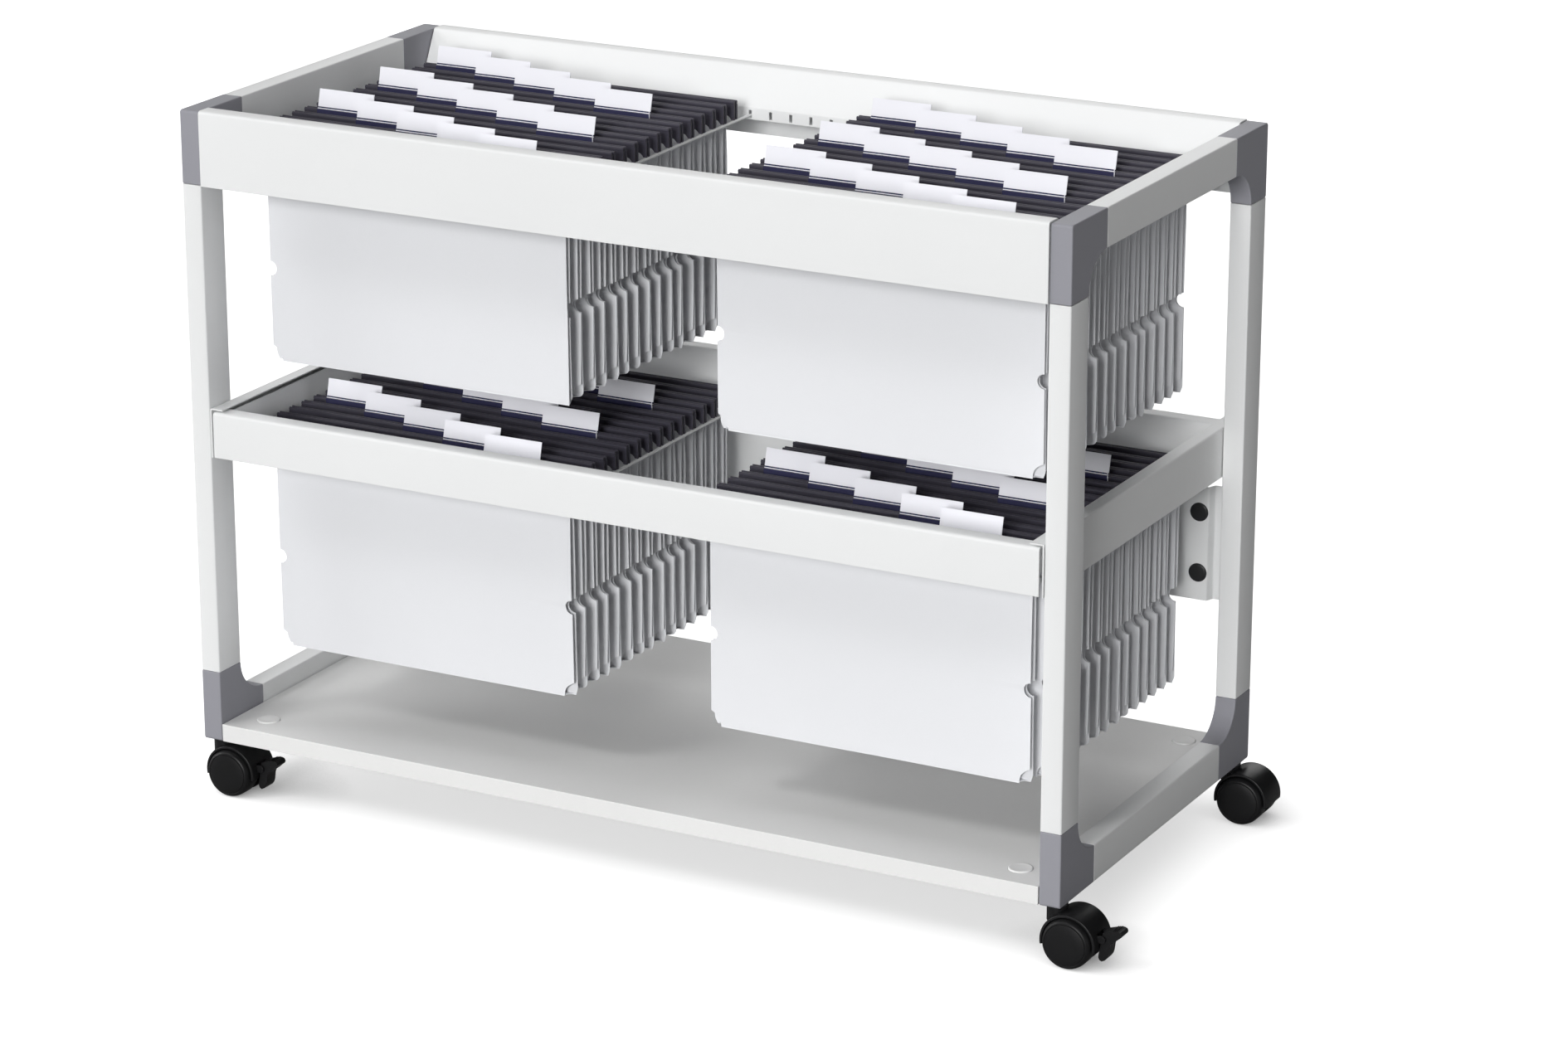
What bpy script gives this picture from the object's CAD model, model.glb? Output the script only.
import math
import random

import bmesh
import bpy
from bpy.props import FloatProperty, FloatVectorProperty, PointerProperty
from mathutils import Matrix, Vector


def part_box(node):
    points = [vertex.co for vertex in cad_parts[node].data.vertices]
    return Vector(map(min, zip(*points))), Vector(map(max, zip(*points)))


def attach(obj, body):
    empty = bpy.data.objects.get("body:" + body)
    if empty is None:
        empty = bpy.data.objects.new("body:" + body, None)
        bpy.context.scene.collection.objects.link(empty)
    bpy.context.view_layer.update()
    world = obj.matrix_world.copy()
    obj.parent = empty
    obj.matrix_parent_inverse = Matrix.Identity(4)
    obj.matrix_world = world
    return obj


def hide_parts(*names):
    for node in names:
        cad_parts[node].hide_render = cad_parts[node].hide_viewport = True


bl_info = {
    "name": "Filing trolley dressing",
    "version": (1, 0, 0),
    "blender": (4, 5, 0),
    "location": "3D View > Sidebar > Trolley",
    "description": "Builds the fine pieces and finishes of a two-tier filing trolley",
    "category": "Object",
}

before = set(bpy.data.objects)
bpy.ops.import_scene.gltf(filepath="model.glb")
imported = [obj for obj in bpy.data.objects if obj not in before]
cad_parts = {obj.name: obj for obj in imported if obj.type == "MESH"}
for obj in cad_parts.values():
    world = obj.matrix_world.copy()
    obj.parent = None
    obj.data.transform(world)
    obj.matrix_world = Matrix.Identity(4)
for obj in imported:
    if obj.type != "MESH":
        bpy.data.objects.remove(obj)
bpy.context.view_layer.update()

# Lengths are written in millimetres and turned into metres by this.
MM = 0.001

CORNERS = ("front_left", "front_right", "rear_left", "rear_right")
SIDES = ("left", "right")
ENDS = ("front", "rear")
TIERS = ("upper", "lower")
BAYS = tuple(f"{tier}_{side}" for tier in TIERS for side in SIDES)

COAT, BOARD, NYLON = "frame powder coat", "faced board", "castor nylon"
RAIL, LABEL, HOLDER = "hanging rail", "label paper", "label holder"

# Edges that turn by more than so many degrees look sharp.
CRISP, FIRM, SOFT, ROUND = 30, 35, 40, 50

# The least that a corner of an offset line is sharpened, and the share of a run a bend may take.
LEAST_TURN = 0.3
BEND_SHARE = 0.49


def mm(*lengths):
    """Lengths in millimetres as metres."""
    return tuple(length * MM for length in lengths)


def linear(red, green, blue):
    """Screen values from 0 to 255 as linear light."""
    shares = (value / 255 for value in (red, green, blue))
    return tuple(s / 12.92 if s <= 0.04045 else ((s + 0.055) / 1.055) ** 2.4 for s in shares)


def colour_prop(name, description, red, green, blue):
    """A colour setting, given as it looks on a screen from 0 to 255."""
    return FloatVectorProperty(name=name, description=description, subtype="COLOR", size=3,
                               min=0, max=1, default=linear(red, green, blue))


def length_prop(name, description, millimetres):
    return FloatProperty(name=name, description=description, unit="LENGTH", subtype="DISTANCE",
                         min=0, default=millimetres * MM, precision=4)


def light_prop(name, description, strength):
    return FloatProperty(name=name, description=description, default=strength, min=0)


class TrolleyFrameSettings(bpy.types.PropertyGroup):
    """Sizes and colours of the frame, the sheet parts and the board"""
    coat: colour_prop("Coat", "Powder coat of tubes and sheet", 236, 237, 237)
    corner: colour_prop("Corner plastic", "Moulded corner pieces", 152, 152, 159)
    board: colour_prop("Board", "Faced base board", 234, 234, 233)
    plate: colour_prop("Plate", "Blank plate on the front panel", 176, 178, 182)
    black_cap: colour_prop("Black cap", "Round caps on the rear brace", 30, 30, 32)
    tube_round: length_prop("Tube edge radius", "Rounding of the tube's long edges", 1.6)
    bend_round: length_prop("Bend radius", "Outer radius of the bends in the sheet", 2.2)
    corner_round: length_prop("Corner piece radius", "Rounding of the moulded edges", 1.3)


class TrolleyFileSettings(bpy.types.PropertyGroup):
    """Sizes and colours of the hanging files"""
    card: colour_prop("File board", "Pale grey file board", 232, 233, 236)
    rail: colour_prop("Rail", "Black hanging rails", 66, 64, 74)
    label: colour_prop("Label", "White paper label", 244, 244, 250)
    holder: colour_prop("Label holder", "Tinted foot of the label holder", 58, 58, 86)
    card_thick: length_prop("Board thickness", "Thickness of the file board", 0.7)
    sway: length_prop("Sway", "How far a file body swings out of line", 1.6)


class TrolleyCastorSettings(bpy.types.PropertyGroup):
    """Colours of the castors"""
    nylon: colour_prop("Nylon", "Black nylon of housings and pedals", 27, 27, 28)
    tread: colour_prop("Tread", "Black wheels", 23, 23, 24)
    steel: colour_prop("Steel", "Castor stems", 176, 177, 180)


class TrolleyStageSettings(bpy.types.PropertyGroup):
    """Light and backdrop"""
    key: light_prop("Key light", "Strength of the light in front", 2.18)
    side: light_prop("Side light", "Strength of the light from the left", 1.5)
    fill: light_prop("Fill light", "Strength of the light from the right", 0.32)
    back: light_prop("Back light", "Strength of the light from behind", 0.7)
    high: light_prop("High light", "Strength of the light from the upper left", 0.5)
    top: light_prop("Top light", "Power of the softbox above", 2.2)
    sky: light_prop("Room light", "Strength of the even light", 0.02)
    floor: colour_prop("Floor", "Pale studio floor", 170, 170, 170)


def settings(group):
    return getattr(bpy.context.scene, "trolley_" + group)


def span(node):
    """A CAD node's lowest and highest corners."""
    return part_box(node)


def clamp(share):
    return min(max(share, 0), 1)


def eased(share):
    """A share from 0 to 1 that starts and ends gently."""
    share = clamp(share)
    return share * share * (3 - 2 * share)


def rectangle(a0, b0, a1, b1):
    return [(a0, b0), (a1, b0), (a1, b1), (a0, b1)]


def arc(middle, reach, start, end, steps):
    """Points on an arc between two angles in degrees, by its two half axes."""
    turns = [math.radians(start + (end - start) * i / steps) for i in range(steps + 1)]
    return [(middle[0] + math.cos(turn) * reach[0], middle[1] + math.sin(turn) * reach[1])
            for turn in turns]


def corner_ways(before, at, after):
    """The two ways out of a corner, and half the angle between them."""
    a, b = (before - at).normalized(), (after - at).normalized()
    return a, b, a.angle(b) / 2


def rounded_line(points, radius, steps=4):
    """An open line of 2D corners with each inner corner rounded."""
    corners = [Vector(p) for p in points]
    line = [corners[0]]
    for before, at, after in zip(corners, corners[1:], corners[2:]):
        a, b, half = corner_ways(before, at, after)
        reach = min(radius / math.tan(half), (before - at).length * BEND_SHARE,
                    (after - at).length * BEND_SHARE)
        start, end = at + a * reach, at + b * reach
        for i in range(steps + 1):
            t = i / steps
            line.append(start * (1 - t) ** 2 + at * 2 * t * (1 - t) + end * t ** 2)
    line.append(corners[-1])
    return line


def rounded_loop(points, radii, steps=4):
    """A closed loop of 2D corners, each rounded by its own radius or by the one for all."""
    corners = [Vector(p) for p in points]
    if isinstance(radii, float):
        radii = [radii] * len(corners)
    loop = []
    for i, (at, radius) in enumerate(zip(corners, radii)):
        a, b, half = corner_ways(corners[i - 1], at, corners[(i + 1) % len(corners)])
        reach = radius / math.tan(half)
        middle = at + (a + b).normalized() * (radius / math.sin(half))
        start, end = at + a * reach - middle, at + b * reach - middle
        turn = start.angle_signed(end)
        for k in range(steps + 1):
            loop.append(middle + Matrix.Rotation(-turn * k / steps, 2) @ start)
    return loop


def offset_line(line, thick):
    """The line moved to its left by a thickness."""
    moved = []
    for i, point in enumerate(line):
        runs = [b - a for a, b in ((line[max(i - 1, 0)], line[max(i, 1)]),
                                   (line[min(i, len(line) - 2)], line[min(i + 1, len(line) - 1)]))]
        normals = [Vector((-run.y, run.x)).normalized() for run in runs]
        middle = (normals[0] + normals[1]).normalized()
        moved.append(point + middle * (thick / max(middle.dot(normals[1]), LEAST_TURN)))
    return moved


# Where a flat point (a, b) and a place along the run go, for each run axis.
SPREAD = {
    "X": lambda a, b, run: (run, a, b),
    "Y": lambda a, b, run: (a, run, b),
    "Z": lambda a, b, run: (a, b, run),
}


def add_prism(bm, outline, low, high, axis, index=0):
    """A flat outline drawn out along an axis."""
    lift = SPREAD[axis]
    rings = [[bm.verts.new(lift(p[0], p[1], run)) for p in outline] for run in (low, high)]
    faces = [bm.faces.new(ring) for ring in rings]
    for i in range(len(outline)):
        j = (i + 1) % len(outline)
        faces.append(bm.faces.new((rings[0][i], rings[0][j], rings[1][j], rings[1][i])))
    for face in faces:
        face.material_index = index


def add_lathe(bm, profile, steps, centre, axis):
    """(radius, height) pairs turned about an axis through a centre."""
    lift = SPREAD[axis]
    rings = []
    for radius, height in profile:
        turns = [math.tau * i / steps for i in range(steps if radius else 1)]
        rings.append([bm.verts.new(Vector(lift(math.cos(turn) * radius, math.sin(turn) * radius,
                                               height)) + centre) for turn in turns])
    for first, second in zip(rings, rings[1:]):
        for i in range(steps):
            j = (i + 1) % steps
            loop = {id(v): v for v in (first[i % len(first)], first[j % len(first)],
                                       second[j % len(second)], second[i % len(second)])}
            if len(loop) > 2:
                bm.faces.new(tuple(loop.values()))


def add_sweep(bm, section, middle, start, end, steps):
    """A closed section of (radius, y) points swept about a Y axis between angles in degrees."""
    rings = []
    for turn_x, turn_z in arc((0, 0), (1, 1), start, end, steps):
        rings.append([bm.verts.new((middle.x + turn_x * r, middle.y + y, middle.z + turn_z * r))
                      for r, y in section])
    for first, second in zip(rings, rings[1:]):
        for i in range(len(section)):
            j = (i + 1) % len(section)
            bm.faces.new((first[i], first[j], second[j], second[i]))
    bm.faces.new(rings[0])
    bm.faces.new(rings[-1])


def add_sheet(bm, line, stations, thick, axis, holes=(), shift=None):
    """A bent sheet: a line of (a, b) corners drawn out over stations along an axis.

    stations is a list, or a function that gives a row's own list.
    holes are (first row, last row, first station, last station) spans left open.
    shift(row, place) tells how far a point of both faces moves.
    """
    lift = SPREAD[axis]
    grids = []
    for side in (line, offset_line(line, thick)):
        grid = []
        for row, point in enumerate(side):
            made = []
            for run in stations(row) if callable(stations) else stations:
                place = Vector(lift(point[0], point[1], run))
                if shift:
                    place += shift(row, place)
                made.append(bm.verts.new(place))
            grid.append(made)
        grids.append(grid)
    near, far = grids
    rows, columns = len(line) - 1, len(near[0]) - 1

    def filled(row, column):
        if not (0 <= row < rows and 0 <= column < columns):
            return False
        return not any(r0 <= row < r1 and c0 <= column < c1 for r0, r1, c0, c1 in holes)

    for row in range(rows):
        for column in range(columns):
            if not filled(row, column):
                continue
            ring = ((row, column), (row, column + 1), (row + 1, column + 1), (row + 1, column))
            for grid in grids:
                bm.faces.new([grid[r][c] for r, c in ring])
            beyond = ((row - 1, column), (row, column + 1), (row + 1, column), (row, column - 1))
            for i, other in enumerate(beyond):
                if not filled(*other):
                    (r0, c0), (r1, c1) = ring[i], ring[(i + 1) % 4]
                    bm.faces.new((near[r0][c0], near[r1][c1], far[r1][c1], far[r0][c0]))
    loose = [v for v in bm.verts if not v.link_faces]
    bmesh.ops.delete(bm, geom=loose, context="VERTS")


def link_object(name, data):
    """A new object in the scene that shows the data."""
    made = bpy.data.objects.new(name, data)
    bpy.context.scene.collection.objects.link(made)
    return made


def make_object(name, bm):
    """A scene object that has the bmesh as its mesh."""
    mesh = bpy.data.meshes.new(name)
    bm.to_mesh(mesh)
    bm.free()
    return link_object(name, mesh)


def round_edges(piece, width, segments, angle=40, harden=True):
    """Rounds the edges that turn by more than an angle in degrees."""
    rounding = piece.modifiers.new("edge rounding", "BEVEL")
    rounding.width = width
    rounding.segments = segments
    rounding.limit_method = "ANGLE"
    rounding.angle_limit = math.radians(angle)
    rounding.harden_normals = harden


def new_piece(name, bm, finishes, body, smooth, bevel=0, segments=2):
    """Turns a bmesh into a named piece that rides on a body."""
    bmesh.ops.recalc_face_normals(bm, faces=bm.faces)
    piece = make_object(name, bm)
    for polygon in piece.data.polygons:
        polygon.use_smooth = True
    piece.data.set_sharp_from_angle(angle=math.radians(smooth))
    for finish in (finishes,) if isinstance(finishes, str) else finishes:
        piece.data.materials.append(finish_material(finish))
    if bevel:
        round_edges(piece, bevel, segments)
    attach(piece, body)
    return piece


def dress(node, ending, bm, finish, body, smooth, bevel=0, segments=2):
    """A new piece that stands for a CAD node and is named after it."""
    piece = new_piece(f"{node}_{ending}", bm, finish, body, smooth, bevel, segments)
    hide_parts(node)
    return piece


def add_cap(node, face, axis, steps, sunk, shares, finish):
    """A round cap whose profile is shares of its radius and of its rise from a face."""
    low, high = span(node)
    centre = (low + high) / 2
    reach = (high.x - low.x) / 2
    rise = high.z - face if axis == "Z" else low.y - face
    centre["XYZ".index(axis)] = face
    profile = [(0, -sunk), (reach, -sunk)] + [(reach * a, rise * b) for a, b in shares]
    bm = bmesh.new()
    add_lathe(bm, profile, steps, centre, axis)
    dress(node, "disc", bm, finish, "frame", ROUND)


def carve(piece, cutters, smooth):
    """Cuts the cutters' bmeshes out of a piece's own mesh."""
    for bm in cutters:
        bmesh.ops.recalc_face_normals(bm, faces=bm.faces)
        cutter = make_object("cutter", bm)
        cut = piece.modifiers.new("cut", "BOOLEAN")
        cut.operation = "DIFFERENCE"
        cut.solver = "EXACT"
        cut.object = cutter
        bpy.context.view_layer.update()
        shown = piece.evaluated_get(bpy.context.evaluated_depsgraph_get())
        made = bpy.data.meshes.new_from_object(shown)
        piece.modifiers.clear()
        piece.data = made
        bpy.data.objects.remove(cutter)
    piece.data.set_sharp_from_angle(angle=math.radians(smooth))


class Wiring:
    """Adds and links the nodes of one node tree."""

    def __init__(self, tree):
        self.nodes, self.links = tree.nodes, tree.links

    def feed(self, socket, value):
        """Links an output to a socket, or sets the socket's own value."""
        if isinstance(value, bpy.types.NodeSocket):
            self.links.new(value, socket)
        else:
            socket.default_value = value

    def add(self, kind, inputs=None, **choices):
        """A new node, its choices made first and then its inputs fed by name or number."""
        node = self.nodes.new(kind)
        for key, value in choices.items():
            setattr(node, key, value)
        for key, value in (inputs or {}).items():
            self.feed(node.inputs[key], value)
        return node

    def math(self, operation, *values):
        return self.add("ShaderNodeMath", dict(enumerate(values)), operation=operation).outputs[0]

    def noise(self, vector, scale, detail, rough=0.5):
        inputs = {"Vector": vector, "Scale": scale, "Detail": detail, "Roughness": rough}
        return self.add("ShaderNodeTexNoise", inputs).outputs["Fac"]

    def place(self):
        """Where a point lies on the object."""
        return self.add("ShaderNodeTexCoord").outputs["Object"]


def surface_grain(wires, given):
    """Fine speckle and slow clouding, for paint, plastic and board."""
    cloud_scale, cloud_detail, grain_detail = 6, 4, 2
    spot = wires.place()
    clouds = wires.noise(spot, cloud_scale, cloud_detail)
    grain = wires.noise(spot, given["Grain Scale"], grain_detail)
    slow = wires.math("SUBTRACT", clouds, 0.5)
    fast = wires.math("SUBTRACT", grain, 0.5)
    shade = wires.math("MULTIPLY_ADD", slow, given["Clouding"], 1)
    shade = wires.math("MULTIPLY_ADD", fast, given["Speckle"], shade)
    return shade, slow, wires.math("MULTIPLY", grain, given["Grain Depth"])


def fine_streaks(wires, given):
    """Fine parallel streaks along one axis, for drawn rails, brushed plate and turned steel."""
    line_detail, line_rough = 3, 0.6
    stretch = wires.add("ShaderNodeVectorMath", {0: wires.place(), 1: given["Across"]},
                        operation="MULTIPLY").outputs[0]
    lines = wires.noise(stretch, 1, line_detail, line_rough)
    centred = wires.math("SUBTRACT", lines, 0.5)
    return wires.math("MULTIPLY_ADD", centred, given["Contrast"], 1), centred, lines


# Each shared effect: what wires it, and its inputs in the order in which a finish gives them.
EFFECTS = {
    "Surface grain": (surface_grain, {
        "Colour": (0.8, 0.8, 0.8, 1), "Clouding": 0.05, "Grain Scale": 900, "Grain Depth": 0.3,
        "Roughness": 0.45, "Roughness Spread": 0.08, "Speckle": 0.02}),
    "Fine streaks": (fine_streaks, {
        "Colour": (0.5, 0.5, 0.5, 1), "Across": (1, 1, 1), "Contrast": 0.15, "Roughness": 0.35,
        "Roughness Spread": 0.12}),
}


def effect_group(name):
    """The node group of an effect, whose wiring gives a shade, a roughness mask and a height."""
    group = bpy.data.node_groups.get(name)
    if group:
        return group
    group = bpy.data.node_groups.new(name, "ShaderNodeTree")
    wire, inputs = EFFECTS[name]
    for label, value in inputs.items():
        kind = "NodeSocketFloat"
        if isinstance(value, tuple):
            kind = "NodeSocketColor" if len(value) == 4 else "NodeSocketVector"
        socket = group.interface.new_socket(name=label, in_out="INPUT", socket_type=kind)
        socket.default_value = value
    for label in ("Colour", "Roughness", "Height"):
        kind = "NodeSocketColor" if label == "Colour" else "NodeSocketFloat"
        group.interface.new_socket(name=label, in_out="OUTPUT", socket_type=kind)
    wires = Wiring(group)
    given = wires.add("NodeGroupInput").outputs
    shade, mask, height = wire(wires, given)
    scaled = wires.add("ShaderNodeVectorMath", {0: given["Colour"], "Scale": shade},
                       operation="SCALE").outputs[0]
    rough = wires.math("MULTIPLY_ADD", mask, given["Roughness Spread"], given["Roughness"])
    wires.add("NodeGroupOutput", {"Colour": scaled, "Roughness": rough, "Height": height})
    return group


# Each finish: its effect, the settings and the colour in them, the effect's inputs, the depth
# of its relief in millimetres, and what is set on the shader itself.
FINISHES = {
    COAT: ("Surface grain", "frame", "coat", (0.03, 1400, 0.5, 0.42, 0.1, 0.02), 0.2, {}),
    "corner moulding": ("Surface grain", "frame", "corner", (0.06, 2200, 0.8, 0.52, 0.12, 0.07),
                        0.2, {"Specular IOR Level": 0.25}),
    BOARD: ("Surface grain", "frame", "board", (0.05, 420, 0.4, 0.5, 0.1, 0.03), 0.2, {}),
    "black cap": ("Surface grain", "frame", "black_cap", (0.2, 1800, 0.5, 0.36, 0.1, 0.2), 0.2, {}),
    "satin plate": ("Fine streaks", "frame", "plate", ((40, 2500, 2500), 0.25, 0.34, 0.15),
                    0.05, {"Metallic": 0.6}),
    "file board": ("Surface grain", "files", "card", (0.035, 1100, 0.6, 0.7, 0.1, 0.035), 0.2, {}),
    RAIL: ("Fine streaks", "files", "rail", ((6, 900, 900), 0.5, 0.42, 0.2),
           0.1, {"Specular IOR Level": 0.25}),
    LABEL: ("Surface grain", "files", "label", (0.02, 1600, 0.3, 0.35, 0.08, 0.02), 0.2, {}),
    HOLDER: ("Surface grain", "files", "holder", (0.2, 500, 0.2, 0.2, 0.1, 0.1),
             0.2, {"Coat Weight": 0.4, "Coat Roughness": 0.1}),
    NYLON: ("Surface grain", "castors", "nylon", (0.3, 1800, 0.7, 0.38, 0.15, 0.3),
            0.2, {"Specular IOR Level": 0.22}),
    "castor tread": ("Surface grain", "castors", "tread", (0.35, 1500, 0.8, 0.42, 0.2, 0.3),
                     0.2, {"Specular IOR Level": 0.2}),
    "stem steel": ("Fine streaks", "castors", "steel", ((200, 200, 3000), 0.3, 0.3, 0.15),
                   0.05, {"Metallic": 1}),
}
RELIEF_STRENGTH = 0.3


def finish_material(name):
    """The Principled material of a finish, fed by its effect group."""
    material = bpy.data.materials.get(name)
    if material:
        return material
    effect, place, colour, values, depth, own = FINISHES[name]
    colour = (*getattr(settings(place), colour), 1)
    material = bpy.data.materials.new(name)
    material.use_nodes = True
    material.diffuse_color = colour
    wires = Wiring(material.node_tree)
    inputs = dict(zip(EFFECTS[effect][1], (colour, *values)))
    made = wires.add("ShaderNodeGroup", inputs, node_tree=effect_group(effect)).outputs
    relief = wires.add("ShaderNodeBump", {"Strength": RELIEF_STRENGTH, "Distance": depth * MM,
                                          "Height": made["Height"]}).outputs["Normal"]
    shader = wires.nodes["Principled BSDF"]
    for key, value in {"Base Color": made["Colour"], "Roughness": made["Roughness"],
                       "Normal": relief, **own}.items():
        wires.feed(shader.inputs[key], value)
    return material


class TROLLEY_OT_tubes(bpy.types.Operator):
    """Posts and side rails of rectangular tube"""
    bl_idname = "trolley.tubes"
    bl_label = "Posts and rails"

    round_steps = 5
    cut_edge = 0.25 * MM

    def execute(self, context):
        for corner in CORNERS:
            self.tube(f"post_{corner}", "Z")
        for side in SIDES:
            for level in ("top", "bottom"):
                self.tube(f"{level}_rail_{side}", "Y")
        return {"FINISHED"}

    def tube(self, node, axis):
        low, high = span(node)
        along, across = (2, 1) if axis == "Z" else (1, 2)
        loop = rounded_loop(rectangle(low.x, low[across], high.x, high[across]),
                            settings("frame").tube_round, self.round_steps)
        bm = bmesh.new()
        add_prism(bm, loop, low[along], high[along], axis)
        dress(node, "tube", bm, COAT, "frame", CRISP, self.cut_edge, 1)


class TROLLEY_OT_corners(bpy.types.Operator):
    """Moulded corner pieces with their sweeping inner curve"""
    bl_idname = "trolley.corners"
    bl_label = "Corner pieces"

    # The CAD node is longer than the moulding by the spigots in the tubes.
    arm_share, tall_share = 77 / 99, 75 / 97
    leg, heel = mm(38.5, 3)
    sweep_steps, heel_steps = 18, 6

    def execute(self, context):
        for level, up in (("bottom", 1), ("top", -1)):
            for corner in CORNERS:
                back = 1 if corner.startswith("front") else -1
                self.corner(f"{level}_corner_{corner}", back, up)
        return {"FINISHED"}

    def corner(self, node, back, up):
        low, high = span(node)
        arm = (high.y - low.y) * self.arm_share
        tall = (high.z - low.z) * self.tall_share
        leg, heel = self.leg, self.heel
        outline = [(heel, 0), (arm, 0)]
        outline += arc((arm, tall), (arm - leg, tall - leg), -90, -180, self.sweep_steps)
        outline += [(0, tall)]
        outline += arc((heel, heel), (heel, heel), 180, 270, self.heel_steps)[:-1]
        y0 = low.y if back > 0 else high.y
        z0 = low.z if up > 0 else high.z
        bm = bmesh.new()
        add_prism(bm, [(y0 + back * a, z0 + up * b) for a, b in outline], low.x, high.x, "X")
        dress(node, "moulding", bm, "corner moulding", "frame", SOFT,
              settings("frame").corner_round, 3)


class TROLLEY_OT_trays(bpy.types.Operator):
    """Bent sheet panels, side channels and strips of the two trays"""
    bl_idname = "trolley.trays"
    bl_label = "Trays"

    # Panels: the sheet, its lip, its hanging band and the slots in the band.
    sheet, lip, band, half_strip = mm(1.5, 17, 12, 1)
    slot_wide, slot_tall, slot_below = mm(3.4, 8, 4.3)
    slot_steps = 3
    # Side members: the flange, and the leaning wall of the channel under it.
    flange, lean, groove = mm(14.5, 3.6, 6.2)
    bend_up, foot_up, turn_up = mm(14, 0.6, 6)
    panel_gap, panel_slope = 0.3 * MM, 0.5
    # Strips: the bar, and the tongue at each of its ends.
    bar_tall, bar_top, bar_out = mm(2.6, 0.3, 0.7)
    slope_high, slope_low = mm(1, 1.4)
    tongue_long, tongue_tall, tongue_lap = mm(4.3, 4, 2)
    cut_edge, bar_edge = mm(0.2, 0.15)

    def execute(self, context):
        for tier in ("upper", "middle"):
            for end in ENDS:
                self.panel(f"{tier}_{end}_panel", end)
        for side in SIDES:
            self.side(f"middle_side_{side}", side)
        for tier in TIERS:
            for side in SIDES:
                for place in ("outer", "inner"):
                    self.strip(f"{tier}_strip_{side}_{place}")
        return {"FINISHED"}

    def band_heights(self, node):
        """The top of the tier's strips, and of the band that holds them."""
        tier = "upper" if node.startswith("upper") else "lower"
        strip_top = span(f"{tier}_strip_left_inner")[1].z
        return strip_top, strip_top + self.band / 2

    def panel(self, node, end):
        low, high = span(node)
        out = -1 if end == "front" else 1
        face, band = (low.y, high.y) if out < 0 else (high.y, low.y)
        strip_top, band_top = self.band_heights(node)
        slot_low = strip_top - self.slot_below
        corners = [(face, low.z), (face, high.z), (face - out * self.lip, high.z),
                   (band, band_top), (band, band_top - self.band)]
        line = rounded_line(corners, settings("frame").bend_round)
        rows = len(line)
        line[-1:] = [Vector((band, slot_low + self.slot_tall)), Vector((band, slot_low)), line[-1]]
        middle = (low.x + high.x) / 2
        inner, outer = (abs(span(f"upper_strip_left_{place}")[1].x - self.half_strip - middle)
                        for place in ("inner", "outer"))
        count = self.slot_steps
        places = [inner * i / count for i in range(-count, count + 1)] + [-outer, outer]
        stations, holes = [low.x], []
        for place in sorted(places):
            at = middle + place
            stations += [at - self.slot_wide / 2, at + self.slot_wide / 2]
            holes.append((rows - 1, rows, len(stations) - 2, len(stations) - 1))
        stations.append(high.x)
        bm = bmesh.new()
        add_sheet(bm, line, stations, self.sheet * -out, "X", holes)
        dress(node, "sheet", bm, COAT, "frame", CRISP, self.cut_edge, 1)

    def side(self, node, side):
        low, high = span(node)
        out = -1 if side == "left" else 1
        outer, inner = (low.x, high.x) if out < 0 else (high.x, low.x)
        bend = settings("frame").bend_round
        band = span("middle_front_panel")[1].y + self.panel_gap
        band_top = self.band_heights(node)[1]
        wall, foot = outer - out * self.sheet, low.z + self.foot_up
        line = rounded_line([(inner + out * self.lean, high.z - self.groove),
                             (inner, low.z + self.bend_up), (inner, foot), (wall, foot),
                             (wall, low.z + self.turn_up)], bend)
        angle = rounded_line([(outer, low.z), (outer, high.z),
                              (outer - out * self.flange, high.z)], bend)

        def stations(row):
            """The wall runs up to the sloping faces of the panels."""
            reach = -band + max(line[row].y - band_top, 0) * self.panel_slope
            return [-reach, reach]

        bm = bmesh.new()
        add_sheet(bm, line, stations, self.sheet * out, "Y")
        add_sheet(bm, angle, [low.y, high.y], self.sheet * out, "Y")
        dress(node, "channel", bm, COAT, "frame", CRISP, self.cut_edge, 1)

    def strip(self, node):
        """A slim bar with a tongue at each end and an edge that slopes on the hooks' side."""
        low, high = span(node)
        out = -1 if ("left" in node) == node.endswith("outer") else 1
        inner, outer = (high.x, low.x) if out < 0 else (low.x, high.x)
        top, under = high.z, high.z - self.bar_tall
        edge = outer + out * self.bar_out
        section = [(inner, top), (outer - out * self.bar_top, top), (edge, top - self.slope_high),
                   (edge, top - self.slope_low), (outer, under), (inner, under)]
        bm = bmesh.new()
        add_prism(bm, section, low.y + self.tongue_long, high.y - self.tongue_long, "Y")
        tongue = rectangle(low.x, top - self.tongue_tall, high.x, top)
        reach = self.tongue_long + self.tongue_lap
        for y0, y1 in ((low.y, low.y + reach), (high.y - reach, high.y)):
            add_prism(bm, tongue, y0, y1, "Y")
        dress(node, "bar", bm, COAT, "frame", CRISP, self.bar_edge, 2)


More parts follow.
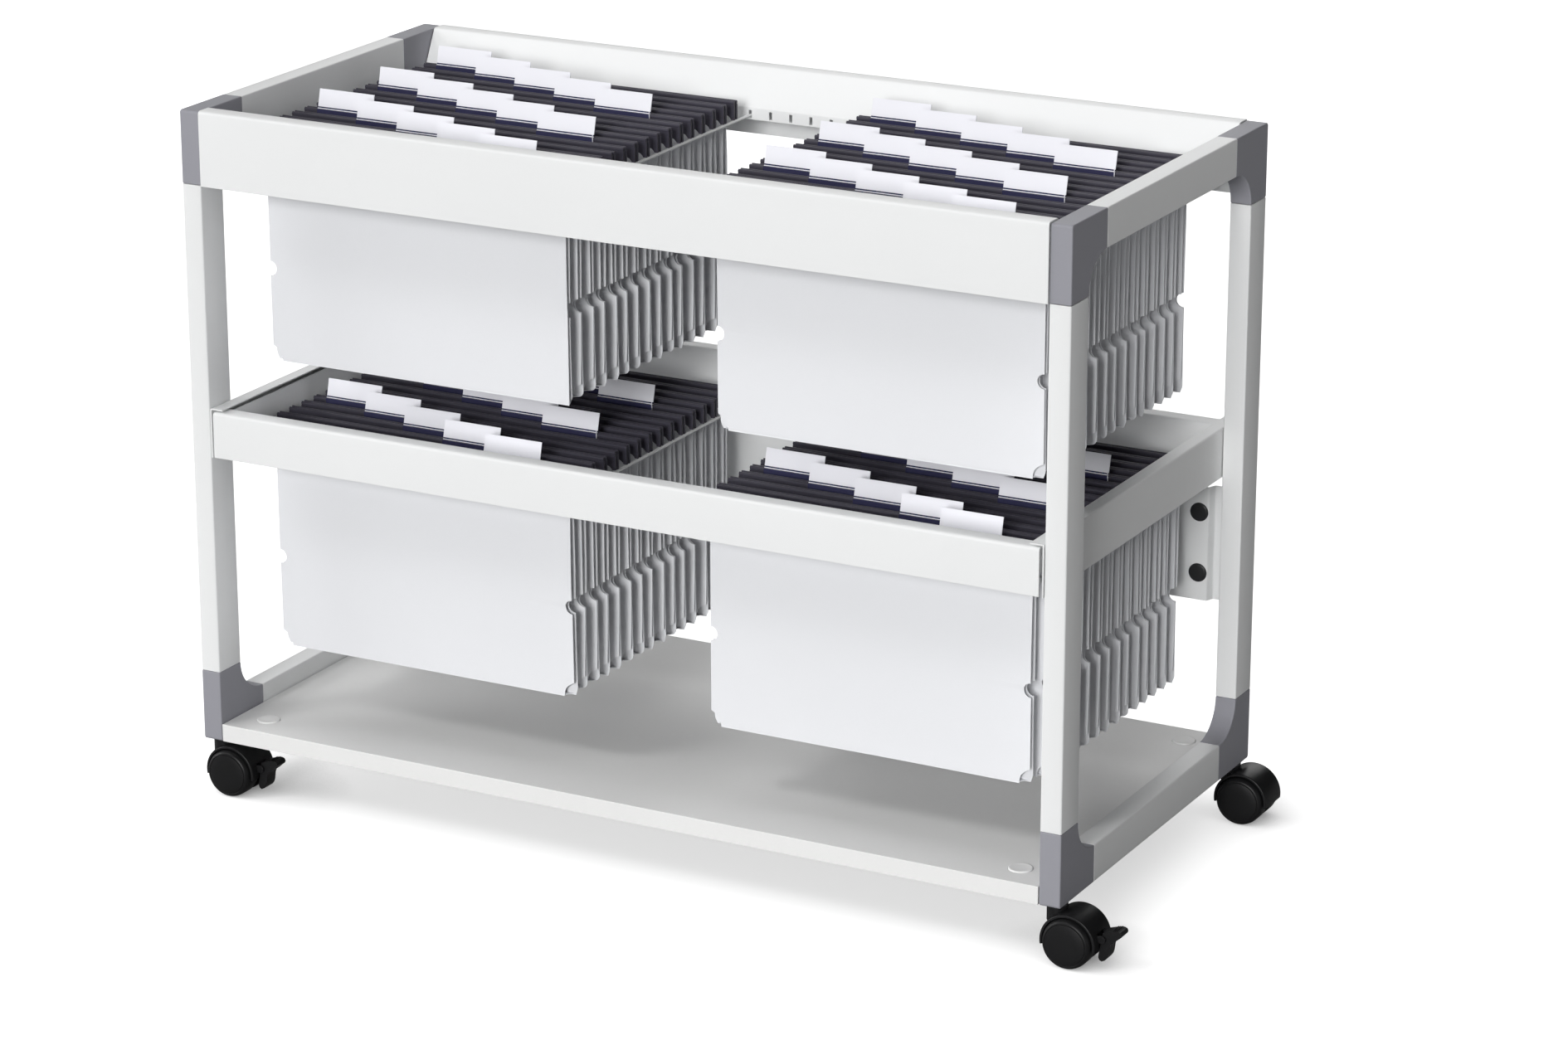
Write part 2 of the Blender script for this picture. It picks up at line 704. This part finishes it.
class TROLLEY_OT_board(bpy.types.Operator):
    """Base board with its round cover caps"""
    bl_idname = "trolley.board"
    bl_label = "Base board"

    edge, cap_room, recess, above, cap_sunk = mm(0.4, 0.25, 0.8, 3, 0.5)
    cap_steps = 64
    # The cap's rim and dished top, as shares of its radius and its rise.
    cap_shares = ((1, 0.25), (0.985, 0.6), (0.95, 0.85), (0.88, 1), (0.8, 0.8), (0.4, 0.72),
                  (0, 0.7))

    def execute(self, context):
        low, high = span("base_board")
        bm = bmesh.new()
        add_prism(bm, rectangle(low.x, low.z, high.x, high.z), low.y, high.y, "Y")
        board = dress("base_board", "panel", bm, BOARD, "frame", CRISP)
        carve(board, [self.recess_cutter(corner, high.z) for corner in CORNERS], CRISP)
        round_edges(board, self.edge, 2, angle=60, harden=False)
        for corner in CORNERS:
            add_cap(f"board_cap_{corner}", high.z, "Z", self.cap_steps, self.cap_sunk,
                    self.cap_shares, BOARD)
        return {"FINISHED"}

    def recess_cutter(self, corner, top):
        low, high = span(f"board_cap_{corner}")
        middle = (low + high) / 2
        reach = (high.x - low.x) / 2 + self.cap_room
        bm = bmesh.new()
        add_lathe(bm, [(0, -self.recess), (reach, -self.recess), (reach, self.above),
                       (0, self.above)], self.cap_steps, Vector((middle.x, middle.y, top)), "Z")
        return bm


class TROLLEY_OT_brace(bpy.types.Operator):
    """Rear brace plate with joggled ends and black caps"""
    bl_idname = "trolley.brace"
    bl_label = "Rear brace"

    thick, end, joggle, edge = mm(1.5, 14, 3, 0.3)
    cap_steps = 48
    # The cap's rim, as shares of its radius and its rise.
    cap_shares = ((1, 0.4), (0.96, 0.7), (0.88, 0.9), (0.75, 1), (0, 1))

    def execute(self, context):
        low, high = span("rear_brace")
        back, face = high.y - self.thick, low.y
        bend = self.end + self.joggle
        corners = [(low.x, back), (low.x + self.end, back), (low.x + bend, face),
                   (high.x - bend, face), (high.x - self.end, back), (high.x, back)]
        line = rounded_line(corners, settings("frame").bend_round)
        bm = bmesh.new()
        add_sheet(bm, line, [low.z, high.z], self.thick, "Z")
        dress("rear_brace", "plate", bm, COAT, "frame", CRISP, self.edge, 2)
        for side in SIDES:
            for row in ("lower", "upper"):
                add_cap(f"brace_cap_{side}_{row}", face, "Y", self.cap_steps, 0,
                        self.cap_shares, "black cap")
        return {"FINISHED"}


class TROLLEY_OT_plate(bpy.types.Operator):
    """Blank plate on the upper front panel"""
    bl_idname = "trolley.plate"
    bl_label = "Blank plate"

    corner_round, edge = mm(1.2, 0.35)

    def execute(self, context):
        low, high = span("badge_plate")
        bm = bmesh.new()
        loop = rounded_loop(rectangle(low.x, low.z, high.x, high.z), self.corner_round)
        add_prism(bm, loop, low.y, high.y, "Y")
        dress("badge_plate", "blank", bm, "satin plate", "frame", CRISP, self.edge, 3)
        return {"FINISHED"}


class TROLLEY_OT_files(bpy.types.Operator):
    """Hanging files: black rails, folded board bodies and label tabs, bay by bay"""
    bl_idname = "trolley.files"
    bl_label = "Hanging files"

    count = 15
    first_seed = 40
    slipped = -8 * MM
    # Outline of a body: its size, the round notches, the cut and the rounded foot corners.
    body_half, file_tall, lap = mm(173, 241, 3)
    notch, notch_down = mm(7.5, 146)
    cut_wide, cut_tall, foot_round = mm(11, 15, 7)
    bite_share = 1.3
    inner_stations = (-0.14, -0.105, -0.055, 0, 0.055, 0.105, 0.14)
    # Half the gap between a body's two faces.
    mouth, mouth_deep, closed = mm(3.8, 36, 1)
    close_start, close_end = 0.9, -1.3
    bulge, foot_swell, swell_power = 0.7 * MM, 2.3 * MM, 2.5
    wedge_wide, wedge_drop = mm(1, 1.6)
    lean_most, hang_least, hang_most = 0.7, 0.6, 3.4
    # The sway: waves across a body by their turns, slant and share, the curled ends, and the
    # margins that leave the plain wedge, as shares of half its width.
    waves, wave_share = ((2.2, 0, 0.5), (5, 4, 0.25)), 0.6
    curl_from, gape_high, gape_low = 0.75, 1.1, 0.25
    margin_from, margin_wide = 0.7, 0.28
    # The rails: a beaded section, by its half width and its drop from the top, and the hook.
    rail_tall, rail_apart, rail_short = mm(15, 2.5, 4.2)
    bead = ((0.35, 0), (1.1, 0.5), (1.55, 1.5), (1.5, 2.6), (1.05, 3.4), (1.05, 15))
    hook = ((14, 5.5), (9, 5), (6, 3.8), (4, 1.8), (3.2, 0.3), (-0.3, 0.3), (-0.3, 16), (14, 16))
    hook_half = 1.3 * MM
    rail_top = rail_tall + notch * 2 / 3
    # The tabs: their places and lean, and for each slab its low and high edge, its front and
    # back face, its finish and whether it leans. The last slab closes the holder's right end.
    tab_wide, tab_step, tab_from_left, tab_places = 65 * MM, 61 * MM, 3 * MM, 5
    tab_lean = 14
    slabs = ((2.3, 20.4, -0.45, 0.45, 0, True), (0.9, 2.3, -0.5, 0.4, 1, True),
             (0.1, 0.9, -0.7, 0.5, 0, True), (-5.2, 0.1, -2.2, -1.7, 1, False),
             (-5.2, 3, -2.35, -1.6, 0, False))
    end_inside, end_outside = mm(0.5, 0.1)

    def execute(self, context):
        for number, bay in enumerate(BAYS):
            low, high = span(f"files_{bay}")
            self.chance = random.Random(self.first_seed + number)
            strip_top = span(f"{bay.split('_')[0]}_strip_left_inner")[1].z
            self.middle = Vector(((low.x + high.x) / 2, 0, strip_top))
            self.reach = (high.x - low.x) / 2
            pitch = (high.y - low.y) / self.count
            boards, rails, tabs = bmesh.new(), bmesh.new(), bmesh.new()
            for order in range(self.count):
                y = ((self.count - 1) / 2 - order) * pitch
                foremost = order == self.count - 1
                x0 = self.middle.x + (self.slipped if bay == "lower_right" and foremost else 0)
                self.body(boards, x0, y, foremost, foremost and bay == "upper_left")
                self.rails(rails, x0, y)
                self.tab(tabs, x0, y, order)
            body = f"files_{bay}"
            cards = new_piece(f"cards_{bay}", boards, "file board", body, ROUND)
            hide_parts(body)
            new_piece(f"rails_{bay}", rails, RAIL, body, FIRM)
            new_piece(f"tabs_{bay}", tabs, (LABEL, HOLDER), body, CRISP)
        return {"FINISHED"}

    def body_heights(self, top, crease, foot):
        """The heights at which a body bends, from the rail to the foot."""
        notch, cut = self.notch, self.cut_tall
        heights = [top, (top + crease) * 0.35, (top + crease) * 0.75, crease + notch * 1.5]
        heights += [crease + notch * math.sin(math.pi / 2 - math.pi * i / 8) for i in range(9)]
        heights += [crease - notch * 1.5, crease - notch * 2.4, crease * 0.6 + foot * 0.4,
                    crease * 0.3 + foot * 0.7, foot + cut * 1.05]
        heights += [foot + cut * share for share in (1, 0.75, 0.5, 0.28, 0.1)]
        return heights + [foot + 1.6 * MM, foot + 0.5 * MM]

    def body(self, bm, x0, y, foremost, plain_right):
        """One folded sheet: down in front, round the foot and up behind."""
        top = self.rail_top - self.rail_tall + self.lap
        foot = self.rail_top - self.file_tall
        crease = self.rail_top - self.notch_down
        z0, notch = self.middle.z, self.notch
        sway, draw = settings("files").sway, self.chance
        front_top, rear_top = (self.mouth + draw.uniform(-self.lean_most, self.lean_most) * sway
                               for _ in ENDS)
        shift = draw.uniform(-1, 1) * sway
        hang = draw.uniform(self.hang_least, self.hang_most) * MM
        heights = self.body_heights(top, crease, foot)

        def closing(z):
            """0 above the notch and 1 below it."""
            start, end = self.close_start, self.close_end
            return eased((crease + notch * start - z) / (notch * (start - end)))

        def settled(drop):
            """0 at the rail and 1 from a third of the way down."""
            return math.sin(min(drop * 3, 1) * math.pi / 2)

        def spread(z, wide_top):
            """Half the gap at the margins: open above, shut under the notch, a round foot."""
            shut = closing(z)
            bulge = math.sin(clamp((top - z) / (top - crease)) * math.pi) * self.bulge
            low = clamp((crease - z) / (crease - foot))
            opening = min((top - z) / self.mouth_deep, 1)
            wide = self.rail_apart + (wide_top - self.rail_apart) * opening
            swell = low ** self.swell_power * self.foot_swell
            return wide * (1 - shut) + bulge + self.closed * shut + swell

        def flat(z):
            """Half the gap at the middle of the file, a plain wedge."""
            drop = (top - z) / (top - foot)
            return self.rail_apart + self.wedge_wide * settled(drop) - drop * self.wedge_drop

        line = [Vector((-flat(z), z)) for z in heights] + [Vector((0, foot))]
        line += [Vector((flat(z), z)) for z in reversed(heights)]
        levels = [point.y for point in line]
        # Six starts are drawn and two are used, so that what is drawn later stays the same.
        starts = [draw.uniform(0, math.tau) for _ in range(6)][:2]
        curl = [draw.uniform(-1, 1) for _ in range(4)]

        def edge_at(z, plain, behind):
            """How far an edge of the body lies from its middle."""
            half, near = self.body_half, abs(z - crease)
            if plain:
                return half
            if near < notch:
                return half - math.sqrt(max(notch ** 2 - near ** 2, 0))
            if z < foot + self.cut_tall and not behind:
                share = max(z - foot, 0) / self.cut_tall
                return half - self.cut_wide * (1 - share ** 3)
            if z < foot + self.foot_round and behind:
                down = (foot + self.foot_round - z) / self.foot_round
                return half - self.foot_round * (1 - math.sqrt(max(1 - down * down, 0)))
            return half

        def stations(row):
            z, behind = levels[row], row > len(line) / 2
            bite = self.body_half - self.cut_wide * self.bite_share
            right = edge_at(z, plain_right and not behind, behind)
            return [x0 - edge_at(z, False, behind), x0 - bite,
                    *(x0 + s for s in self.inner_stations), x0 + bite, x0 + right]

        def sway_at(row, place):
            """How far a point of the board stands out of the plain wedge."""
            z, fore = levels[row], row < len(line) / 2
            drop = clamp((top - z) / (top - foot))
            across = (place.x - x0) / self.body_half
            wave = sum(math.sin(across * turns + drop * slant + start) * share
                       for (turns, slant, share), start in zip(self.waves, starts))
            end = max(abs(across) - self.curl_from, 0) / (1 - self.curl_from)
            side = (0 if across < 0 else 1) + (0 if fore else 2)
            gape = self.gape_high if z > crease else self.gape_low
            bend = curl[side] * end * math.sin(drop * math.pi) * gape
            if fore:
                formed = 0 if foremost else closing(z) * hang - spread(z, front_top) + flat(z)
            else:
                formed = closing(z) * hang + spread(z, rear_top) - flat(z)
            turn = (wave * self.wave_share + bend) * sway * settled(drop) + shift * drop
            margin = eased((abs(across) - self.margin_from) / self.margin_wide)
            return Vector((0, turn + formed * margin, 0))

        placed = [Vector((y + p.x, z0 + p.y)) for p in line]
        add_sheet(bm, placed, stations, settings("files").card_thick, "X", shift=sway_at)

    def rails(self, bm, x0, y):
        """Two beaded blades close together, each with a hook at both ends."""
        top, z0 = self.middle.z + self.rail_top, self.middle.z
        reach = self.reach - self.rail_short
        for side in (-1, 1):
            mid = y + side * self.rail_apart
            section = [(mid + a * MM, top - b * MM) for a, b in self.bead]
            section += [(mid - a * MM, top - b * MM) for a, b in reversed(self.bead)]
            add_prism(bm, section, x0 - reach, x0 + reach, "X")
            for end in (-1, 1):
                points = [(x0 + end * (reach - a * MM), z0 + b * MM) for a, b in self.hook]
                add_prism(bm, points, mid - self.hook_half, mid + self.hook_half, "Y")

    def tab(self, bm, x0, y, order):
        """A leaning label on a clear holder whose tinted foot hangs over the front blade."""
        left = x0 - self.body_half + self.tab_from_left + (order % self.tab_places) * self.tab_step
        right = left + self.tab_wide
        base = Vector((y - self.rail_apart, self.middle.z + self.rail_top))
        for slab in self.slabs:
            low, high, near, far, index, leans = slab
            tilt = math.radians(self.tab_lean if leans else 0)
            along = Vector((math.sin(tilt), math.cos(tilt)))
            through = Vector((along.y, -along.x))
            corners = [base + along * up * MM + through * out * MM
                       for out, up in ((near, low), (far, low), (far, high), (near, high))]
            ends = (left, right)
            if slab is self.slabs[-1]:
                ends = (right - self.end_inside, right + self.end_outside)
            add_prism(bm, corners, *ends, "X", index)


class TROLLEY_OT_castors(bpy.types.Operator):
    """Twin-wheel castors with stems, hoods, wheels and front brake pedals"""
    bl_idname = "trolley.castors"
    bl_label = "Castors"

    # Stem: the pin, and the collar on it.
    pin, pin_edge = mm(5, 0.6)
    collar_up, collar_tall, collar_edge = mm(6.3, 1.4, 0.3)
    # Hood: where it starts and ends in degrees, its section, and the gap for the pedal.
    hood_from, hood_to, hood_steps = -8, 190, 56
    hood_half, hood_out, hood_in = mm(20, 28.65, 26.05)
    hood_rounds = mm(0.3, 1.2, 1.2, 0.3)
    gap_half, gap_x, gap_z = 8.8 * MM, mm(17, 32), mm(-29, 11.3)
    # Web between the wheels, its hub, and the neck with the stem's seat.
    web_half, web_lap, web_edge = mm(3.4, 1, 0.3)
    stem_steps, web_steps, hub_steps, pin_steps, wheel_steps = 40, 48, 32, 20, 72
    hub, trail = mm(8.5, 19)
    neck, neck_up, neck_edge = mm(10.3, 14.5, 0.8)
    seat, seat_deep = mm(5.4, 3)
    # Ears and pins that carry the pedal.
    pivot_x, pivot_z = mm(31.4, 6.5)
    ear_at, ear_thick, ear_round = mm(8.4, 2.2, 4)
    ear_back, ear_low, pedal_pin = mm(6.5, 2.8, 1.6)
    ear_from, ear_to, ear_steps = -75, 90, 11
    # Wheels: the axle, and each wheel's outline as shares of its radius and its width.
    radius, inner, half, axle = mm(25, 4.4, 26.5, 4)
    wheel_shares = ((0.97, 0), (0.995, 0.03), (1, 0.07), (1, 0.62), (0.995, 0.7), (0.975, 0.79),
                    (0.945, 0.86), (0.9, 0.905), (0.86, 0.92), (0.845, 0.905), (0.825, 0.905),
                    (0.81, 0.93), (0.7, 0.965), (0.5, 0.99), (0.25, 1), (0, 1))
    # Pedal: its outline from the wheel's middle in millimetres, and the ribs on its tip.
    pedal_half, pedal_edge = mm(8, 0.5)
    pedal_line = ((31.4, 12.9), (30.6, 6.5), (28.9, -3.4), (27.6, -9), (27.4, -12.5),
                  (28.6, -15.2), (31, -16.2), (34.2, -14.6), (36.4, -11.6), (37.6, -7.5),
                  (38.4, -1), (39.6, 2.7), (43.4, 5.6), (50.4, 11.6), (51.2, 13.2),
                  (50.6, 15.2), (48.4, 16.8), (46.4, 17), (40.3, 15.8))
    ribs, rib_first, rib_step, rib_share = 5, 41.3, 2.1, 0.96
    rib_line = ((-0.7, -0.6), (0.7, -0.6), (0.35, 0.7), (-0.35, 0.7))
    crest, heel_z, crest_z, rise, fall = 46.4, 15.9, 17, 0.2, 0.35

    def execute(self, context):
        for corner in CORNERS:
            low, high = span(f"castor_wheels_{corner}")
            middle = (low + high) / 2
            self.stem(corner)
            self.housing(corner, middle)
            self.wheels(corner, middle)
            if corner.startswith("front"):
                self.pedal(corner, middle)
        return {"FINISHED"}

    def stem(self, corner):
        low, high = span(f"castor_stem_{corner}")
        middle, radius = (low + high) / 2, (high.x - low.x) / 2
        pin, edge = self.pin, self.collar_edge
        collar = low.z + self.collar_up
        crown = collar + self.collar_tall
        profile = [(0, low.z), (pin - self.pin_edge, low.z), (pin, low.z + self.pin_edge),
                   (pin, collar - edge), (radius - edge, collar - edge), (radius, collar),
                   (radius, crown), (radius - edge, crown + edge), (pin, crown + edge),
                   (pin, high.z), (0, high.z)]
        bm = bmesh.new()
        add_lathe(bm, profile, self.stem_steps, Vector((middle.x, middle.y, 0)), "Z")
        dress(f"castor_stem_{corner}", "pin", bm, "stem steel", "frame", FIRM)

    def housing(self, corner, middle):
        braked = corner.startswith("front")
        body = f"castor_swivel_{corner}"
        section = rounded_loop(rectangle(self.hood_in, -self.hood_half, self.hood_out,
                                         self.hood_half), self.hood_rounds)
        bm = bmesh.new()
        add_sweep(bm, section, middle, self.hood_from, self.hood_to, self.hood_steps)
        hood = dress(f"castor_housing_{corner}", "hood", bm, NYLON, body, SOFT)
        if braked:
            gap = bmesh.new()
            (x0, x1), (low, high) = self.gap_x, self.gap_z
            add_prism(gap, rectangle(middle.x + x0, middle.z + low, middle.x + x1,
                                     middle.z + high),
                      middle.y - self.gap_half, middle.y + self.gap_half, "Y")
            carve(hood, [gap], SOFT)
        web = bmesh.new()
        self.web(web, middle, span(f"castor_housing_{corner}")[1].z)
        if braked:
            for side in (-1, 1):
                self.ear(web, middle, side)
        new_piece(f"castor_housing_{corner}_web", web, NYLON, body, SOFT, self.web_edge, 2)

    def web(self, bm, middle, top):
        """The disc between the wheels, its hub, and the neck that the stem stands in."""
        reach, half = self.hood_in + self.web_lap, self.web_half
        disc = arc((middle.x, middle.z), (reach, reach), self.hood_from, self.hood_to,
                   self.web_steps)
        add_prism(bm, disc, middle.y - half, middle.y + half, "Y")
        add_lathe(bm, [(0, -half), (self.hub, -half), (self.hub, half), (0, half)],
                  self.hub_steps, middle, "Y")
        neck, edge, foot = self.neck, self.neck_edge, middle.z + self.neck_up
        profile = [(0, foot), (neck, foot), (neck, top - edge), (neck - edge, top),
                   (self.seat, top), (self.seat, top - self.seat_deep), (0, top - self.seat_deep)]
        add_lathe(bm, profile, self.stem_steps, Vector((middle.x - self.trail, middle.y, 0)), "Z")

    def ear(self, bm, middle, side):
        """One ear of the housing, with the pin that the pedal tips on."""
        pivot = Vector((middle.x + self.pivot_x, middle.y, middle.z + self.pivot_z))
        x, z = pivot.x, pivot.z
        near = side * self.ear_at
        far = near + side * self.ear_thick
        outline = [(x - self.ear_back, z - self.ear_low), (x, z - self.ear_round)]
        outline += arc((x, z), (self.ear_round, self.ear_round), self.ear_from, self.ear_to,
                       self.ear_steps)
        outline += [(x - self.ear_back, z + self.ear_low)]
        add_prism(bm, outline, middle.y + min(near, far), middle.y + max(near, far), "Y")
        low, high = sorted((0, -side * self.ear_thick))
        add_lathe(bm, [(0, low), (self.pedal_pin, low), (self.pedal_pin, high), (0, high)],
                  self.pin_steps, Vector((x, middle.y + near, z)), "Y")

    def wheels(self, corner, middle):
        wide = self.half - self.inner
        profile = [(0, 0), (self.axle, 0), (self.axle, self.inner)]
        profile += [(a * self.radius, self.inner + wide * b) for a, b in self.wheel_shares]
        bm = bmesh.new()
        for side in (1, -1):
            add_lathe(bm, [(a, side * b) for a, b in profile], self.wheel_steps, middle, "Y")
        dress(f"castor_wheels_{corner}", "pair", bm, "castor tread", f"castor_wheel_{corner}",
              SOFT)

    def pedal(self, corner, middle):
        bm = bmesh.new()

        def plank(points, half):
            add_prism(bm, [(middle.x + a * MM, middle.z + b * MM) for a, b in points],
                      middle.y - half, middle.y + half, "Y")

        plank(self.pedal_line, self.pedal_half)
        for i in range(self.ribs):
            x = self.rib_first + i * self.rib_step
            z = self.heel_z + (x - self.pedal_line[-1][0]) * self.rise
            if x >= self.crest:
                z = self.crest_z - (x - self.crest) * self.fall
            plank([(x + a, z + b) for a, b in self.rib_line], self.pedal_half * self.rib_share)
        dress(f"brake_pedal_{corner}", "tread", bm, NYLON, f"brake_{corner}", FIRM,
              self.pedal_edge, 2)


class TROLLEY_OT_stage(bpy.types.Operator):
    """Floor, light and camera"""
    bl_idname = "trolley.stage"
    bl_label = "Stage"

    # Each far lamp: its width, its height and its swing to the right of the front, in degrees.
    lamps = {"key": (22, 16, 9), "side": (36, 20, -76), "fill": (40, 12, 82),
             "back": (40, 30, -160), "high": (14, 50, -38)}
    softbox_size, softbox_place = (0.8, 0.9), (-0.1, 0.5, 1.9)
    floor_reach, floor_rough, floor_specular = 14, 0.7, 0.1
    cloud_scale, cloud_detail, cloud_shade = 1.5, 3, 0.98
    # How near the trolley shades the floor for the camera, and towards which side.
    shade_near, shade_samples, shade_tilt = 0.085, 8, (-0.25, -0.6, 0.75)
    lens_length, film_wide, view_far = 110, 36, 60
    camera_place = (2.18663, -4.02466, 1.80568)
    camera_down, camera_turn = 0.316575, 0.489867

    def execute(self, context):
        choice = settings("stage")
        self.floor(choice.floor)
        self.sky(choice.sky)
        for name, way in self.lamps.items():
            self.lamp(name, getattr(choice, name), *way)
        self.softbox(choice.top)
        self.camera()
        context.scene.view_settings.view_transform = "Standard"
        return {"FINISHED"}

    def floor(self, colour):
        """A floor that the camera sees white, but for the shade near the trolley."""
        bm = bmesh.new()
        reach = self.floor_reach
        for a, b in rectangle(-reach, -reach, reach, reach):
            bm.verts.new((a, b, 0))
        bm.faces.new(bm.verts)
        floor = make_object("studio_floor", bm)
        material = bpy.data.materials.new("studio floor")
        material.use_nodes = True
        wires = Wiring(material.node_tree)
        cloud = wires.noise(wires.place(), self.cloud_scale, self.cloud_detail)
        mix = wires.add("ShaderNodeMix", {
            "Factor": cloud, "A": (*(v * self.cloud_shade for v in colour), 1),
            "B": (*colour, 1)}, data_type="RGBA")
        tilt = wires.add("ShaderNodeCombineXYZ", dict(enumerate(self.shade_tilt))).outputs[0]
        near = wires.add("ShaderNodeAmbientOcclusion",
                         {"Distance": self.shade_near, "Normal": tilt},
                         samples=self.shade_samples).outputs["AO"]
        seen = wires.add("ShaderNodeLightPath").outputs["Is Camera Ray"]
        shader = wires.nodes["Principled BSDF"]
        for key, value in {"Roughness": self.floor_rough,
                           "Specular IOR Level": self.floor_specular,
                           "Base Color": mix.outputs["Result"],
                           "Emission Color": (1, 1, 1, 1),
                           "Emission Strength": wires.math("MULTIPLY", seen, near)}.items():
            wires.feed(shader.inputs[key], value)
        floor.data.materials.append(material)

    @staticmethod
    def sky(strength):
        """An even light that the camera sees as plain white."""
        world = bpy.context.scene.world or bpy.data.worlds.new("studio")
        bpy.context.scene.world = world
        world.use_nodes = True
        wires = Wiring(world.node_tree)
        wires.nodes.clear()
        path = wires.add("ShaderNodeLightPath").outputs
        seen = wires.math("MAXIMUM", path["Is Camera Ray"], path["Is Transmission Ray"])
        room, white = (wires.add("ShaderNodeBackground", {"Color": (1, 1, 1, 1), "Strength": power})
                       for power in (strength, 1))
        mix = wires.add("ShaderNodeMixShader", {"Fac": seen, 1: room.outputs[0],
                                                2: white.outputs[0]})
        wires.add("ShaderNodeOutputWorld", {"Surface": mix.outputs[0]})

    @staticmethod
    def lamp(name, energy, width, rise, swing):
        light = bpy.data.lights.new(name, "SUN")
        light.energy = energy
        light.angle = math.radians(width)
        rise, swing = math.radians(rise), math.radians(swing)
        towards = Vector((math.sin(swing) * math.cos(rise), -math.cos(swing) * math.cos(rise),
                          math.sin(rise)))
        link_object(name, light).rotation_euler = towards.to_track_quat("Z", "Y").to_euler()

    def softbox(self, power):
        """A broad lamp hung level above the trolley."""
        light = bpy.data.lights.new("softbox", "AREA")
        light.energy = power
        light.shape = "RECTANGLE"
        light.size, light.size_y = self.softbox_size
        link_object("softbox", light).location = self.softbox_place

    def camera(self):
        lens = bpy.data.cameras.new("photo view")
        lens.lens, lens.sensor_width = self.lens_length, self.film_wide
        lens.clip_end = self.view_far
        camera = link_object("photo view", lens)
        camera.location = self.camera_place
        camera.rotation_euler = (math.pi / 2 - self.camera_down, 0, self.camera_turn)
        bpy.context.scene.camera = camera


OPERATORS = (TROLLEY_OT_tubes, TROLLEY_OT_corners, TROLLEY_OT_trays, TROLLEY_OT_board,
             TROLLEY_OT_brace, TROLLEY_OT_plate, TROLLEY_OT_files, TROLLEY_OT_castors,
             TROLLEY_OT_stage)

SETTINGS = {
    "trolley_frame": TrolleyFrameSettings,
    "trolley_files": TrolleyFileSettings,
    "trolley_castors": TrolleyCastorSettings,
    "trolley_stage": TrolleyStageSettings,
}


class TROLLEY_PT_sidebar(bpy.types.Panel):
    """Settings and pieces of the filing trolley"""
    bl_idname = "TROLLEY_PT_sidebar"
    bl_label = "Filing trolley"
    bl_space_type = "VIEW_3D"
    bl_region_type = "UI"
    bl_category = "Trolley"

    def draw(self, context):
        layout = self.layout
        for name in SETTINGS:
            group = getattr(context.scene, name)
            box = layout.box()
            for key in group.__annotations__:
                box.prop(group, key)
        for operator in OPERATORS:
            layout.operator(operator.bl_idname)


def register():
    for kind in (*SETTINGS.values(), *OPERATORS, TROLLEY_PT_sidebar):
        bpy.utils.register_class(kind)
    for name, kind in SETTINGS.items():
        setattr(bpy.types.Scene, name, PointerProperty(type=kind))


def unregister():
    for name in SETTINGS:
        delattr(bpy.types.Scene, name)
    for kind in (TROLLEY_PT_sidebar, *reversed(OPERATORS), *reversed(SETTINGS.values())):
        bpy.utils.unregister_class(kind)


def main():
    register()
    for operator in OPERATORS:
        group, name = operator.bl_idname.split(".")
        getattr(getattr(bpy.ops, group), name)()


if __name__ == "__main__":
    main()
